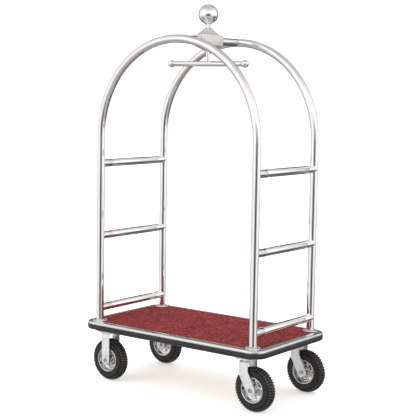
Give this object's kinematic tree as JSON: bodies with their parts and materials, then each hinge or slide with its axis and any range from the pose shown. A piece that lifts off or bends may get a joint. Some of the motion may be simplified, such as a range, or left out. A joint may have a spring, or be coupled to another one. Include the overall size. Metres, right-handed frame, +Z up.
{
  "type": "hotel luggage cart",
  "caption": "Hotel luggage cart with bent tube arches, end rails, a crown with a ball finial, a hanging bar, a carpeted deck with a rubber bumper, and fixed and swivel pneumatic casters.",
  "frame": {"origin": "on the floor, in the middle of the cart's box", "axes": "+Z up, +X towards the swivel casters, -Y the front"},
  "size_m": [1.11, 0.6, 1.8747],
  "materials": {
    "polished_tube": "polished stainless tube",
    "rail_tube": "bright drawn stainless tube",
    "satin_casting": "satin cast alloy",
    "mirror_chrome": "mirror chrome",
    "nosing_metal": "bright extruded nosing",
    "screw_steel": "bright screws",
    "bumper_rubber": "ribbed black bumper strip",
    "carpet_pile": "red cut pile, mottled",
    "deck_board": "plywood",
    "painted_steel": "black enamel",
    "zinc_plate": "bright zinc plate",
    "zinc_bolt": "zinc plated bolts",
    "bearing_steel": "ground bearing steel",
    "tyre_rubber": "black moulded rubber",
    "tube_rubber": "black butyl",
    "rim_chrome": "chromed pressed rim"
  },
  "bodies": {
    "chassis": {"deck_panel": "deck_board", "carpet": "carpet_pile", "edge_trim": "nosing_metal", "bumper": "bumper_rubber", "side_members": "painted_steel", "cross_members": "painted_steel", "deck_screws": "screw_steel", "front_arch": "polished_tube", "back_arch": "polished_tube", "post_flanges": "nosing_metal", "flange_screws": "screw_steel", "left_rails": "rail_tube", "right_rails": "rail_tube", "rail_sockets": "rail_tube", "bridge_tube": "polished_tube", "crown_hub": "satin_casting", "crown_roof": "satin_casting", "crown_funnel": "satin_casting", "crown_tie_rod": "screw_steel", "finial_neck": "mirror_chrome", "finial_ball": "mirror_chrome", "hanger_rod": "polished_tube", "hanger_bar": "polished_tube", "hanger_knobs": "mirror_chrome", "fixed_plates": "zinc_plate", "swivel_plates": "zinc_plate", "caster_bolts": "zinc_bolt", "fixed_fork_front": "zinc_plate", "fixed_fork_back": "zinc_plate", "axle_front_left": "zinc_bolt", "axle_back_left": "zinc_bolt"},
    "swivel_front": {"swivel_fork_front": "zinc_plate", "kingpin_front": "zinc_bolt", "swivel_balls_front": "bearing_steel", "axle_front_right": "zinc_bolt"},
    "swivel_back": {"swivel_fork_back": "zinc_plate", "kingpin_back": "zinc_bolt", "swivel_balls_back": "bearing_steel", "axle_back_right": "zinc_bolt"},
    "wheel_front_left": {"tyre_front_left": "tyre_rubber", "inner_tube_front_left": "tube_rubber", "rim_front_left": "rim_chrome", "rim_bolts_front_left": "zinc_bolt", "bearings_front_left": "bearing_steel"},
    "wheel_back_left": {"tyre_back_left": "tyre_rubber", "inner_tube_back_left": "tube_rubber", "rim_back_left": "rim_chrome", "rim_bolts_back_left": "zinc_bolt", "bearings_back_left": "bearing_steel"},
    "wheel_front_right": {"tyre_front_right": "tyre_rubber", "inner_tube_front_right": "tube_rubber", "rim_front_right": "rim_chrome", "rim_bolts_front_right": "zinc_bolt", "bearings_front_right": "bearing_steel"},
    "wheel_back_right": {"tyre_back_right": "tyre_rubber", "inner_tube_back_right": "tube_rubber", "rim_back_right": "rim_chrome", "rim_bolts_back_right": "zinc_bolt", "bearings_back_right": "bearing_steel"}
  },
  "joints": [
    {"name": "swivel_front_turn", "type": "hinge", "parent": "chassis", "child": "swivel_front", "pos_m": [0.409, -0.219, 0.241], "axis": [0, 0, 1], "continuous": true},
    {"name": "swivel_back_turn", "type": "hinge", "parent": "chassis", "child": "swivel_back", "pos_m": [0.409, 0.219, 0.241], "axis": [0, 0, 1], "continuous": true},
    {"name": "wheel_front_left_roll", "type": "hinge", "parent": "chassis", "child": "wheel_front_left", "pos_m": [-0.434, -0.219, 0.105], "axis": [0, 1, 0], "continuous": true},
    {"name": "wheel_back_left_roll", "type": "hinge", "parent": "chassis", "child": "wheel_back_left", "pos_m": [-0.434, 0.219, 0.105], "axis": [0, 1, 0], "continuous": true},
    {"name": "wheel_front_right_roll", "type": "hinge", "parent": "swivel_front", "child": "wheel_front_right", "pos_m": [0.45, -0.219, 0.105], "axis": [0, 1, 0], "continuous": true},
    {"name": "wheel_back_right_roll", "type": "hinge", "parent": "swivel_back", "child": "wheel_back_right", "pos_m": [0.45, 0.219, 0.105], "axis": [0, 1, 0], "continuous": true}
  ]
}
